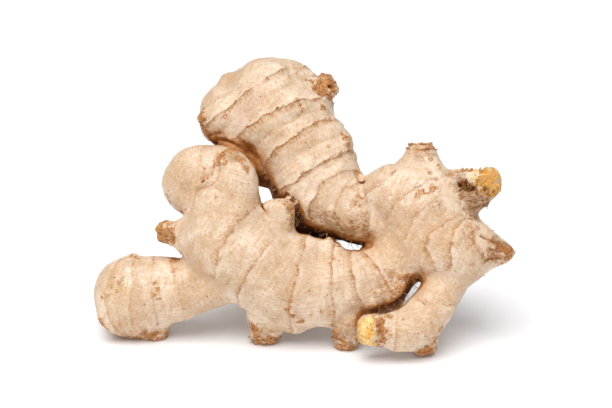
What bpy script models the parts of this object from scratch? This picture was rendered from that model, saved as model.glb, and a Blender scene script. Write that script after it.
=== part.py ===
"""A hand of fresh ginger: one rhizome that grew as one piece, so it is one solid.

The hand branches mostly in one plane. Its lobes are laid out in that plane, in millimetres, as
stations along their middle lines: across, back, up, and the lobe's radius there. The lobes are
fused, their joints are filled out, and the stubs are added. The plane then leans back onto the
finger behind it, and the feet get the small flats that the hand rests on.

Metres and +Z up. The origin is on the table, under the middle of the root.
"""

import math

import bmesh
import bpy
from mathutils import Vector

MM = 0.001
LEAN = math.radians(20)  # how far the hand's plane leans back from upright
THICKNESS = 0.9  # a lobe's depth over its width
HAND_ORIGIN = Vector((0.3, -33.0, 0.0)) * MM  # where the hand's own frame starts

FUSE_VOXEL = 1.3 * MM  # grid that fuses the lobes
FILLET_PASSES = 10  # smoothing that fills out the joints between lobes
STUB_VOXEL = 1.0 * MM
STUB_PASSES = 3
TRIANGLES_KEPT = 0.07  # share of the fused surface's triangles
STEPS = 8  # points along a tube between two stations
DOME_STEPS = 6  # points round a lobe's blunt end
DOME_TIP = 0.05  # radius that a blunt end closes to, in millimetres
SECTION_RESOLUTION = 8
WELD = 0.001 * MM  # joins a tube's caps to its side
TABLE_BLOCK = 0.4  # side of the block that trims the feet

# Lobes, each a list of stations (across, back, up, radius). They end in domes. The webs are
# the flesh at the bottom of the crevices.
LOBES = {
    "body": [
        (-25.0, 3.0, 69.4, 8.8),
        (-28.6, 5.0, 58.9, 14.2),
        (-28.5, 8.0, 45.8, 18.9),
        (-16.8, 8.0, 37.0, 18.3),
        (-2.3, 8.0, 28.1, 16.8),
        (11.7, 8.0, 27.6, 14.9),
        (21.8, 8.0, 28.1, 13.8),
        (31.2, 8.0, 31.4, 12.6),
        (40.2, 7.0, 39.8, 10.2),
        (48.0, 7.0, 45.2, 11.7),
    ],
    "tall_finger": [
        (31.2, 10.0, 53.0, 10.6),
        (19.5, 13.0, 57.7, 13.0),
        (7.0, 16.0, 66.2, 16.4),
        (-1.2, 20.0, 80.3, 17.7),
        (-7.8, 22.0, 91.3, 19.8),
        (-12.4, 24.0, 100.2, 18.2),
    ],
    "tall_finger_crest": [
        (-21.5, 25.0, 101.5, 12.6),
        (-14.0, 24.0, 104.0, 14.6),
        (-7.8, 24.0, 107.8, 10.4),
    ],
    "tall_finger_right_side": [
        (7.0, 17.0, 81.0, 13.0),
        (11.5, 15.5, 74.0, 11.2),
    ],
    "tall_finger_belly": [
        (2.5, 16.0, 60.0, 9.0),
        (5.6, 15.0, 55.2, 7.4),
        (9.6, 14.0, 54.2, 5.6),
    ],
    "tall_finger_left_bud": [
        (-8.6, 21.0, 88.1, 15.6),
        (-17.9, 24.0, 92.0, 16.0),
        (-26.8, 26.0, 95.0, 14.6),
    ],
    "tall_finger_right_bud": [
        (-4.0, 22.0, 90.0, 18.2),
        (-4.6, 24.0, 98.2, 16.2),
    ],
    "body_ridge": [
        (-5.0, 6.0, 42.5, 6.2),
        (3.0, 6.0, 41.6, 6.0),
        (8.5, 6.5, 40.8, 5.2),
        (11.8, 7.0, 40.2, 4.4),
    ],
    "upper_knob": [
        (-43.0, 16.0, 67.0, 12.6),
        (-40.0, 15.0, 69.8, 13.7),
        (-31.2, 11.0, 72.2, 10.3),
        (-25.0, 4.0, 70.4, 8.0),
    ],
    "left_bulb": [
        (-66.3, 17.0, 22.7, 16.6),
        (-56.2, 15.0, 25.0, 14.4),
        (-47.6, 13.0, 25.3, 12.1),
        (-39.0, 11.0, 28.3, 11.3),
        (-30.0, 9.0, 31.6, 11.7),
    ],
    "right_mass": [
        (49.2, 7.0, 46.8, 15.2),
        (47.6, 8.0, 58.1, 17.4),
    ],
    "right_shoulder": [
        (44.9, 8.0, 60.0, 14.0),
        (34.3, 8.0, 63.0, 11.9),
    ],
    "right_point": [
        (48.0, 7.0, 47.2, 15.6),
        (57.7, 6.0, 42.9, 16.5),
        (65.5, 5.0, 41.5, 13.9),
        (71.4, 4.0, 41.4, 9.5),
        (76.4, 3.0, 41.2, 5.8),
        (78.7, 2.5, 40.9, 4.1),
    ],
    "right_bud": [
        (55.8, 6.0, 57.2, 12.9),
        (60.8, 4.0, 63.4, 10.2),
        (66.7, 3.0, 64.0, 8.2),
    ],
    "right_leg": [
        (57.4, 6.0, 36.4, 10.6),
        (56.2, 3.0, 29.4, 8.4),
        (51.6, 0.0, 22.0, 8.3),
        (46.0, -3.0, 14.4, 9.0),
        (39.2, -5.0, 11.0, 8.1),
        (33.5, -6.0, 10.8, 6.8),
    ],
    "right_heel": [
        (44.5, -2.0, 12.4, 7.8),
        (47.4, 1.5, 5.4, 5.8),
    ],
    "back_finger": [
        (5.0, 18.0, 32.0, 13.2),
        (3.0, 29.0, 34.5, 12.6),
        (-1.0, 42.0, 34.5, 12.2),
        (-5.0, 54.0, 32.5, 13.4),
    ],
    "back_finger_bud": [
        (-3.0, 46.0, 36.0, 10.5),
        (-14.5, 52.0, 40.5, 7.6),
    ],
    "back_knob": [
        (48.0, 18.0, 52.0, 13.0),
        (53.0, 30.0, 54.0, 9.6),
    ],
    "upper_web": [
        (-20.0, 15.0, 73.0, 4.5),
        (-15.5, 17.0, 69.3, 3.6),
    ],
    "middle_web": [
        (-3.0, 25.0, 53.5, 5.6),
        (8.0, 26.0, 46.5, 5.6),
    ],
    "right_web": [
        (28.5, 12.0, 21.0, 5.6),
        (33.0, 11.0, 19.2, 4.6),
        (36.6, 10.2, 20.0, 3.4),
    ],
    "left_foot": [
        (-57.5, 16.0, 15.0, 6.8),
        (-57.9, 17.5, 9.4, 5.6),
    ],
    "middle_foot": [
        (-14.0, 9.0, 24.0, 8.0),
        (-14.4, 12.0, 12.5, 7.6),
        (-14.6, 14.0, 8.0, 5.8),
    ],
    "slanted_foot": [
        (20.0, 5.0, 20.0, 7.0),
        (18.3, 6.5, 10.5, 6.4),
        (16.6, 8.5, 5.6, 5.0),
    ],
}

# Stubs: bud scars, nubs and broken ends. They end flat.
STUBS = {
    "middle_ridge": [(-11.7, 10.0, 14.6, 5.6), (-0.8, 9.0, 16.8, 7.6)],
    "crown_stub": [
        (44.0, 8.0, 64.0, 14.6),
        (46.0, 8.0, 72.0, 10.8),
        (46.8, 8.0, 78.4, 6.5),
        (46.9, 8.0, 82.5, 4.7),
    ],
    "side_stub": [
        (-36.0, 8.0, 47.2, 12.0),
        (-44.0, 8.0, 47.2, 8.4),
        (-49.4, 8.0, 47.9, 4.7),
        (-56.0, 8.0, 48.3, 4.2),
    ],
    "tip_stub": [(4.0, 20.0, 101.0, 6.0), (11.6, 18.0, 108.0, 4.6)],
    "finger_nub": [(8.0, 18.0, 82.3, 8.0), (15.4, 16.8, 83.4, 5.3), (19.6, 16.0, 84.0, 3.0)],
    "body_nub": [
        (-11.5, 6.0, 45.2, 9.8),
        (-9.0, 4.0, 54.0, 6.8),
        (-8.0, 3.0, 59.0, 5.4),
        (-7.6, 2.6, 61.2, 3.2),
    ],
    "broken_bud": [
        (62.0, 4.0, 64.0, 7.2),
        (69.0, 3.0, 66.0, 6.2),
        (74.4, 2.2, 67.8, 5.8),
        (76.8, 2.0, 68.2, 4.2),
    ],
    "broken_toe": [
        (36.0, -6.0, 11.2, 6.8),
        (30.0, -6.5, 11.4, 6.2),
        (24.0, -7.4, 11.2, 6.2),
        (21.4, -7.8, 11.2, 4.6),
    ],
}


def smooth_path(stations):
    """Points on a Catmull-Rom spline through the stations, radius included."""
    points = [Vector(station) for station in stations]
    ends = [2 * points[0] - points[1], *points, 2 * points[-1] - points[-2]]
    path = []
    for before, start, end, after in zip(ends, ends[1:], ends[2:], ends[3:]):
        for step in range(STEPS):
            t = step / STEPS
            path.append(
                0.5
                * (
                    2 * start
                    + (end - before) * t
                    + (2 * before - 5 * start + 4 * end - after) * t**2
                    + (3 * start - before - 3 * end + after) * t**3
                )
            )
    return [*path, points[-1]]


def dome(path):
    """The points that round off the end of a path: a quarter circle of its last radius."""
    tip = path[-1]
    radius = tip.w
    outward = (tip.xyz - path[-2].xyz).normalized()
    rounded = []
    for step in range(1, DOME_STEPS + 1):
        angle = math.pi / 2 * step / DOME_STEPS
        place = tip.xyz + outward * radius * math.sin(angle)
        rounded.append(Vector((*place, max(radius * math.cos(angle), DOME_TIP))))
    return rounded


def tube(name, stations, domed):
    """A lobe or a stub, as a curve whose bevel follows its radius."""
    path = smooth_path(stations)
    if domed:
        path = [*dome(path[::-1])[::-1], *path, *dome(path)]
    curve = bpy.data.curves.new(name, "CURVE")
    curve.dimensions = "3D"
    curve.bevel_depth = MM  # times each point's radius, in millimetres
    curve.bevel_resolution = SECTION_RESOLUTION
    curve.use_fill_caps = True
    spline = curve.splines.new("POLY")
    spline.points.add(len(path) - 1)
    for point, place in zip(spline.points, path):
        # The object's scale flattens the section, so the depth is stretched to stay where it is.
        point.co = (place.x * MM, place.y * MM / THICKNESS, place.z * MM, 1)
        point.radius = place.w
    piece = bpy.data.objects.new(name, curve)
    piece.scale = (1, THICKNESS, 1)
    bpy.context.scene.collection.objects.link(piece)
    return piece


def evaluated_mesh(obj):
    """The object's mesh with its modifiers and its transform applied."""
    bpy.context.view_layer.update()
    graph = bpy.context.evaluated_depsgraph_get()
    mesh = bpy.data.meshes.new_from_object(obj.evaluated_get(graph))
    mesh.transform(obj.matrix_world)
    return mesh


def fused(name, pieces, voxel, passes):
    """The pieces as one object, whose modifiers fuse them and smooth the joints."""
    gathered = bmesh.new()
    for piece in pieces:
        gathered.from_mesh(evaluated_mesh(piece))
        bpy.data.objects.remove(piece)
    bmesh.ops.remove_doubles(gathered, verts=gathered.verts, dist=WELD)
    mesh = bpy.data.meshes.new(name)
    gathered.to_mesh(mesh)
    gathered.free()
    whole = bpy.data.objects.new(name, mesh)
    bpy.context.scene.collection.objects.link(whole)
    fuse = whole.modifiers.new("fuse", "REMESH")
    fuse.mode = "VOXEL"
    fuse.voxel_size = voxel
    fuse.use_smooth_shade = True
    fill = whole.modifiers.new("fill joints", "SMOOTH")
    fill.iterations = passes
    return whole


def skin_material():
    """Pale tan skin, matt with a slight sheen."""
    material = bpy.data.materials.new("skin")
    material.use_nodes = True
    shader = material.node_tree.nodes["Principled BSDF"]
    shader.inputs["Base Color"].default_value = (0.74, 0.53, 0.33, 1)
    shader.inputs["Roughness"].default_value = 0.5
    shader.inputs["Metallic"].default_value = 0
    return material


def table_block():
    """A block whose top face is the table. It trims the feet flat."""
    bpy.ops.mesh.primitive_cube_add(size=TABLE_BLOCK, location=(0, 0, -TABLE_BLOCK / 2))
    block = bpy.context.object
    block.name = "table"
    block.hide_render = True
    block.display_type = "WIRE"
    return block


def move_to_collection(obj, name):
    collection = bpy.data.collections.new(name)
    bpy.context.scene.collection.children.link(collection)
    for current in obj.users_collection:
        current.objects.unlink(obj)
    collection.objects.link(obj)


def ginger_root():
    """The whole hand: lobes fused with wide joints, stubs with crisper ones, and flat feet."""
    lobes = [tube(name, stations, domed=True) for name, stations in LOBES.items()]
    flesh = fused("flesh", lobes, FUSE_VOXEL, FILLET_PASSES)
    stubs = [tube(name, stations, domed=False) for name, stations in STUBS.items()]
    root = fused("ginger_root", [flesh, *stubs], STUB_VOXEL, STUB_PASSES)
    root.rotation_euler = (-LEAN, 0, 0)
    root.location = HAND_ORIGIN

    thin = root.modifiers.new("thin out", "DECIMATE")
    thin.ratio = TRIANGLES_KEPT
    trim = root.modifiers.new("trim the feet", "BOOLEAN")
    trim.operation = "DIFFERENCE"
    trim.object = table_block()
    root.data.materials.append(skin_material())

    move_to_collection(root, "ginger_root")
    move_to_collection(trim.object, "cutters")


for leftover in list(bpy.data.objects):
    bpy.data.objects.remove(leftover)
ginger_root()
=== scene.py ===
"""The looks of a hand of fresh ginger: its ringed, fibrous skin, broken ends, corky scars and hairs.

Shapes are laid out in the hand's own frame, in millimetres: across (left to right), back (away
from the face that shows the branching) and up. The CAD solid leans that frame back by LEAN.
"""

import math
import random

import bmesh
import bpy
import numpy as np
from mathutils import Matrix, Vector, noise
from mathutils.bvhtree import BVHTree
from numpy.linalg import norm


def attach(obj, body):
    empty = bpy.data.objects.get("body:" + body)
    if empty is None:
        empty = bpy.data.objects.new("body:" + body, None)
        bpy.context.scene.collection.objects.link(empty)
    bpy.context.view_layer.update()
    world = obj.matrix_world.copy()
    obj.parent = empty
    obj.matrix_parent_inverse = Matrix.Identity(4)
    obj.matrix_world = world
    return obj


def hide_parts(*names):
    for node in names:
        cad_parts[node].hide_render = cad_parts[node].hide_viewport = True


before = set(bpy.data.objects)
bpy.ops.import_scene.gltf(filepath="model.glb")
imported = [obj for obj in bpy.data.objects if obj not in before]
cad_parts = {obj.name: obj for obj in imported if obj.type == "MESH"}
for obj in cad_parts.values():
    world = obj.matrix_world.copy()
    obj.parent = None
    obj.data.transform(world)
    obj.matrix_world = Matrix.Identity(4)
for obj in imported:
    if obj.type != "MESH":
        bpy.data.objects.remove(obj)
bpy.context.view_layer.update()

MM = 0.001
LEAN = math.radians(20)
HAND_ORIGIN = np.array((0.3, -33.0, 0.0))
HAND_AXES = np.array(
    (
        (1, 0, 0),
        (0, math.cos(LEAN), -math.sin(LEAN)),
        (0, math.sin(LEAN), math.cos(LEAN)),
    )
)
FRONT_DEPTH = 8.0  # how far back the plane lies that the front's marks are laid out on
EYE = np.array((1.6, FRONT_DEPTH - 663.0, 59.3))  # where the front is looked at from

SKIN_VOXEL = 0.66 * MM
ROUND_OFF_LEVELS = 2
SMOOTHING_ROUNDS = 8
STEPS = 10  # points along a lobe between two stations
GRAIN_SQUEEZE = 0.15  # how much the fibres are drawn out along a lobe
LAST_GAP = 12.0  # distance between rings past a lobe's last one
RING_WOBBLE = [(1.1, 10.0, 0.0), (0.8, 3.6, 7.7)]  # each noise's height, size and seed
NOOK_RAYS = 36  # directions tried from each point
NOOK_REACH = 11.0  # how far they look
NOOK_START = 0.4  # how far outside the skin they start

# How plainly the rings of a lobe show.
RING_STRENGTH = {
    "tall_finger": 1.0, "right_finger": 0.75, "body": 0.7, "left_bulb": 0.42, "right_leg": 0.42,
    "upper_knob": 0.35, "back_finger": 0.9, "body_nub": 0, "right_bud": 0, "crown_stub": 0.2,
    "back_knob": 0.3,
}
PLAIN_RING_STRENGTH = 0.5

# Lobes: stations along the middle line (across, back, up, radius), and the growth rings, each
# through three points of the front (across, up), in the order that the middle line meets them.
LOBES = {
    "body": (
        [(-25, 3, 70, 9), (-28.6, 5, 59, 14), (-28.5, 8, 45.8, 18.9), (-16.8, 8, 37, 18.3),
         (-2.3, 8, 28.1, 16.8), (11.7, 8, 27.6, 14.9), (21.8, 8, 28.1, 13.8), (31.2, 8, 31.4, 12.6),
         (40.2, 7, 39.8, 10.2)],
        [((-17.2, 59.3), (-30, 44.1), (-34.7, 27.7)), ((-7.8, 49.9), (-19.1, 35.5), (-24.2, 24.6)),
         ((1.6, 44.5), (-2, 33.2), (-4.3, 19.9)), ((12.5, 40.6), (11.3, 30.4), (11.7, 20.7)),
         ((19.1, 39.8), (19.9, 30.4), (23, 21.1)), ((23.8, 40.2), (28.9, 33.5), (33.9, 27.3))],
    ),
    "tall_finger": (
        [(31.2, 10, 53, 10.6), (19.5, 13, 57.7, 13), (7, 16, 66.2, 16.4), (-1.2, 20, 80.3, 17.7),
         (-7.8, 22, 91.3, 19.8), (-15, 24, 99, 19), (-22, 26, 104, 14)],
        [((14, 58.1), (16, 64), (21.5, 67.5)), ((5.1, 61.2), (9.8, 68.3), (18.7, 72.2)),
         ((-5.5, 66.3), (4.3, 72.5), (16.8, 79.4)), ((-14, 75.1), (-0.8, 87), (10.1, 91.7)),
         ((-26.5, 84.6), (-8.6, 96.3), (9, 100)), ((-32.4, 93.6), (-21.1, 103), (-6.6, 111.2))],
    ),
    "upper_knob": (
        [(-25, 4, 70.4, 8), (-31.2, 11, 72.2, 10.3), (-40, 15, 69.8, 13.7), (-46, 17, 67, 12)],
        [((-38.6, 80.6), (-38.8, 74), (-38, 69))],
    ),
    "left_bulb": (
        [(-30, 9, 31.6, 11.7), (-39, 11, 28.3, 11.3), (-47.6, 13, 25.3, 12.1),
         (-56.2, 15, 25, 14.4), (-66.3, 17, 22.7, 16.6), (-74, 17.5, 22.5, 14)],
        [((-50.7, 33.5), (-48.8, 26.9), (-47.2, 19.9)), ((-58.5, 35.5), (-58.5, 25.7), (-56.6, 14.8)),
         ((-65.1, 37.4), (-66.7, 25.7), (-66.7, 12.1)), ((-74.1, 32.8), (-76.4, 25.7), (-75.7, 17.2))],
    ),
    "right_finger": (
        [(33, 8, 63, 12), (44.9, 8, 57, 17), (54, 6.5, 48, 17), (65.5, 5, 41.5, 13.9),
         (71.4, 4, 41.4, 9.5), (79, 2.5, 40.7, 4.2)],
        [((24.4, 61.2), (31.6, 68), (41.3, 76)), ((34.3, 57), (44, 65.5), (57.7, 69.8)),
         ((43.1, 51.6), (51.9, 60.5), (60.5, 64.4)), ((49.9, 47.2), (55.4, 54), (63.6, 59.9)),
         ((57.9, 42.5), (60.1, 49.1), (64.4, 55.9)), ((67.9, 44.2), (66.6, 46.8), (65.5, 51.6))],
    ),
    "right_bud": ([(56, 6, 58, 12), (60.8, 4, 63.4, 10.2), (69, 3, 65, 7.5), (76.2, 2, 67.4, 5.8)], []),
    "right_leg": (
        [(57.4, 6, 36.4, 10.6), (56.2, 3, 29.4, 8.4), (51.6, 0, 22, 8.3), (46, -3, 14.4, 9),
         (39.2, -5, 11, 8.1), (30, -6.5, 11.4, 6.2), (22.2, -7.6, 11.2, 5.8)],
        [((44.5, 22.6), (50.5, 20), (57.5, 19.5)), ((35.9, 17.9), (37, 10.1), (36.3, 3.1))],
    ),
    "right_heel": ([(44.5, -2, 12.4, 7.8), (47.4, 1.5, 5.4, 5.8)], []),
    "crown_stub": ([(46, 8, 72, 10.8), (46.8, 8, 78.4, 6.5), (46.9, 8, 82.5, 4.7)], []),
    "side_stub": ([(-44, 8, 47.2, 8.4), (-49.4, 8, 47.9, 4.7), (-56, 8, 48.3, 4.2)], []),
    "tip_stub": ([(4, 20, 101, 6), (11.6, 18, 108, 4.6)], []),
    "finger_nub": ([(15.4, 16.8, 83.4, 5.3), (19.6, 16, 84, 3)], []),
    "body_nub": ([(-11.5, 6, 45.2, 9.8), (-9, 4, 54, 6.8), (-7.6, 2.6, 61.2, 3.2)], []),
    "left_foot": ([(-57.5, 16, 15, 6.8), (-57.9, 17.5, 6, 5.6)], []),
    "middle_foot": ([(-14, 9, 24, 8), (-14.4, 12, 12.5, 7.6), (-14.6, 14, 4, 5.8)], []),
    "slanted_foot": ([(20, 5, 20, 7), (18.3, 6.5, 10.5, 6.4), (16.6, 8.5, 2, 5)], []),
    "back_finger": (
        [(5, 18, 32, 13.2), (3, 29, 34.5, 12.6), (-1, 42, 34.5, 12.2), (-5, 56, 32.5, 13.4)],
        [],
    ),
    "back_finger_bud": ([(-3, 46, 36, 10.5), (-14.5, 52, 40.5, 7.6)], []),
    "back_knob": ([(48, 18, 52, 13), (53, 34, 54, 9.6)], []),
}


def to_hand(points):
    """World points in metres as (across, back, up) in millimetres."""
    return (points / MM - HAND_ORIGIN) @ HAND_AXES.T


def to_world(points):
    """Points in the hand's own millimetres as world points in metres."""
    return (np.asarray(points, float) @ HAND_AXES + HAND_ORIGIN) * MM


def smooth_path(stations, steps=STEPS):
    """Points on a Catmull-Rom spline through the stations, radius included."""
    points = np.array(stations, float)
    ends = np.vstack((2 * points[0] - points[1], points, 2 * points[-1] - points[-2]))
    t = np.linspace(0, 1, steps, endpoint=False)[:, None]
    path = [
        0.5 * (2 * b + (c - a) * t + (2 * a - 5 * b + 4 * c - d) * t**2 + (3 * b - a - 3 * c + d) * t**3)
        for a, b, c, d in zip(ends, ends[1:], ends[2:], ends[3:])
    ]
    return np.vstack((*path, points[-1:]))


def field(points, size, seed):
    """Smooth noise from -1 to 1 at each point, with lumps of this size."""
    scaled = points / size + seed
    return np.array([noise.noise(point) for point in scaled.tolist()])


def summed_fields(points, noises):
    """The sum of noises, each with its own height, size and seed."""
    return sum(high * field(points, size, seed) for high, size, seed in noises)


def smoothstep(low, high, value):
    """0 below low, 1 above high and a soft step between them."""
    t = np.clip((value - low) / (high - low), 0, 1)
    return t * t * (3 - 2 * t)


def add_object(name, data):
    made = bpy.data.objects.new(name, data)
    bpy.context.scene.collection.objects.link(made)
    return made


def shade_smooth(mesh):
    for face in mesh.polygons:
        face.use_smooth = True


# ---------------------------------------------------------------- the skin's mesh


def fine_surface():
    """The CAD solid as an even, smooth, fine mesh."""
    coarse = bmesh.new()
    coarse.from_mesh(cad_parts["ginger_root"].data)
    bmesh.ops.remove_doubles(coarse, verts=coarse.verts, dist=0.001 * MM)
    mesh = bpy.data.meshes.new("ginger_skin")
    coarse.to_mesh(mesh)
    coarse.free()
    root = add_object("ginger_skin", mesh)
    round_off = root.modifiers.new("round off", "SUBSURF")
    round_off.levels = round_off.render_levels = ROUND_OFF_LEVELS
    even_out = root.modifiers.new("even out", "REMESH")
    even_out.mode = "VOXEL"
    even_out.voxel_size = SKIN_VOXEL
    smooth = root.modifiers.new("smooth", "SMOOTH")
    smooth.iterations = SMOOTHING_ROUNDS
    graph = bpy.context.evaluated_depsgraph_get()
    fine = bpy.data.meshes.new_from_object(root.evaluated_get(graph))
    root.modifiers.clear()
    root.data = fine
    bpy.data.meshes.remove(mesh)
    return root


def read_vertices(mesh, name):
    """The vertices' places ("co") or normals ("normal"), one row each."""
    values = np.empty(len(mesh.vertices) * 3)
    mesh.vertices.foreach_get(name, values)
    return values.reshape(-1, 3)


class Front:
    """Finds the skin at a place (across, up) of the front."""

    def __init__(self, mesh):
        hand = to_hand(read_vertices(mesh, "co"))
        polygons = [tuple(face.vertices) for face in mesh.polygons]
        self.tree = BVHTree.FromPolygons(hand.tolist(), polygons)

    def cast(self, start, towards):
        """Where a ray meets the skin, or the nearest skin if it misses, and the normal there."""
        hit, normal, _, _ = self.tree.ray_cast(Vector(start), Vector(towards).normalized())
        if hit is None:
            hit, normal, _, _ = self.tree.find_nearest(Vector(start + towards))
        return np.array(hit), np.array(normal)

    def at(self, across, up):
        aim = np.array((across, FRONT_DEPTH, up))
        return self.cast(EYE, aim - EYE)


class Lobe:
    """One lobe's middle line, the frame carried along it, and its ring planes."""

    def __init__(self, stations, rings, front):
        path = smooth_path(stations)
        self.points = path[:, :3]
        self.radii = path[:, 3]
        steps = np.diff(self.points, axis=0)
        lengths = norm(steps, axis=1)
        self.along = np.concatenate(([0], np.cumsum(lengths)))
        tangents = np.gradient(self.points, self.along, axis=0)
        self.tangents = tangents / norm(tangents, axis=1)[:, None]
        self.sides = self.carried_sides()
        self.tops = np.cross(self.tangents, self.sides)
        self.planes = [self.plane(ring, front) for ring in rings] or self.even_planes()

    def carried_sides(self):
        """A sideways direction carried along the line without twist."""
        side = np.cross(self.tangents[0], (0.0, 1.0, 0.1))
        sides = []
        for tangent in self.tangents:
            side = side - tangent * (side @ tangent)
            side = side / norm(side)
            sides.append(side)
        return np.array(sides)

    def plane(self, ring, front):
        """The plane through a ring's three points, facing along the line."""
        a, b, c = [front.at(*place)[0] for place in ring]
        normal = np.cross(b - a, c - a)
        normal = normal / norm(normal)
        nearest = np.argmin(norm(self.points - b, axis=1))
        return b, normal * np.sign(normal @ self.tangents[nearest])

    def even_planes(self):
        """Rings for a lobe that names none, a bit askew."""
        spacing = 0.55 * self.radii.mean() + 3
        planes = []
        for index, distance in enumerate(np.arange(spacing, self.along[-1], spacing)):
            here = np.argmin(abs(self.along - distance))
            askew = 0.15 * math.sin(2.3 * index) * self.sides[here] + 0.1 * self.tops[here]
            normal = self.tangents[here] + askew
            planes.append((self.points[here], normal / norm(normal)))
        return planes

    def closeness(self, hand):
        """Each point's distance from the line over the radius there, and the nearest place."""
        best = np.full(len(hand), 1e9)
        where = np.zeros(len(hand), int)
        for index, (point, radius) in enumerate(zip(self.points, self.radii)):
            near = norm(hand - point, axis=1) / radius
            better = near < best
            best[better] = near[better]
            where[better] = index
        return best, where

    def grain(self, hand, where):
        """Coordinates that run along the fibres: sideways, topways and squeezed lengthways."""
        offset = hand - self.points[where]
        lengthways = self.along[where] + (offset * self.tangents[where]).sum(1)
        sideways = (offset * self.sides[where]).sum(1)
        topways = (offset * self.tops[where]).sum(1)
        return np.stack((sideways, topways, lengthways * GRAIN_SQUEEZE), axis=1)

    def phase(self, hand, wobble):
        """How many rings lie before each point, with the fraction to the next, and their gap."""
        if not self.planes:
            return np.full(len(hand), 0.5), np.full(len(hand), LAST_GAP)
        depths = np.stack([(hand - point) @ normal for point, normal in self.planes], axis=1)
        depths += wobble[:, None]
        count = len(self.planes)
        passed = (depths >= 0).sum(1)
        before = np.take_along_axis(depths, np.clip(passed - 1, 0, count - 1)[:, None], 1)[:, 0]
        after = np.take_along_axis(depths, np.clip(passed, 0, count - 1)[:, None], 1)[:, 0]
        inside = (passed > 0) & (passed < count)
        gap = np.where(inside, np.maximum(before - after, 2.0), LAST_GAP)
        within = np.where(inside, before / gap, np.clip(before / LAST_GAP, -0.5, 0.5))
        return np.where(passed > 0, passed - 1.0, 0.0) + within, gap


def lay_out(hand, lobes):
    """Each point's lobe, its lead over the next lobe, and its ring phase, gap and grain."""
    closeness, places = zip(*(lobe.closeness(hand) for lobe in lobes))
    closeness = np.array(closeness)
    owner = closeness.argmin(0)
    ordered = np.sort(closeness, axis=0)
    wobble = summed_fields(hand, RING_WOBBLE)
    phase = np.zeros(len(hand))
    gap = np.full(len(hand), LAST_GAP)
    grain = np.zeros((len(hand), 3))
    for index, lobe in enumerate(lobes):
        mine = owner == index
        phase[mine], gap[mine] = lobe.phase(hand[mine], wobble[mine])
        grain[mine] = lobe.grain(hand[mine], places[index][mine]) + 31.0 * index
    return owner, ordered[1] - ordered[0], phase, gap, grain


# ---------------------------------------------------------------- marks on the skin

# Round marks on the front: (across, up, radius, strength). A trail of them makes a long one.
MARKS = {}

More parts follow.
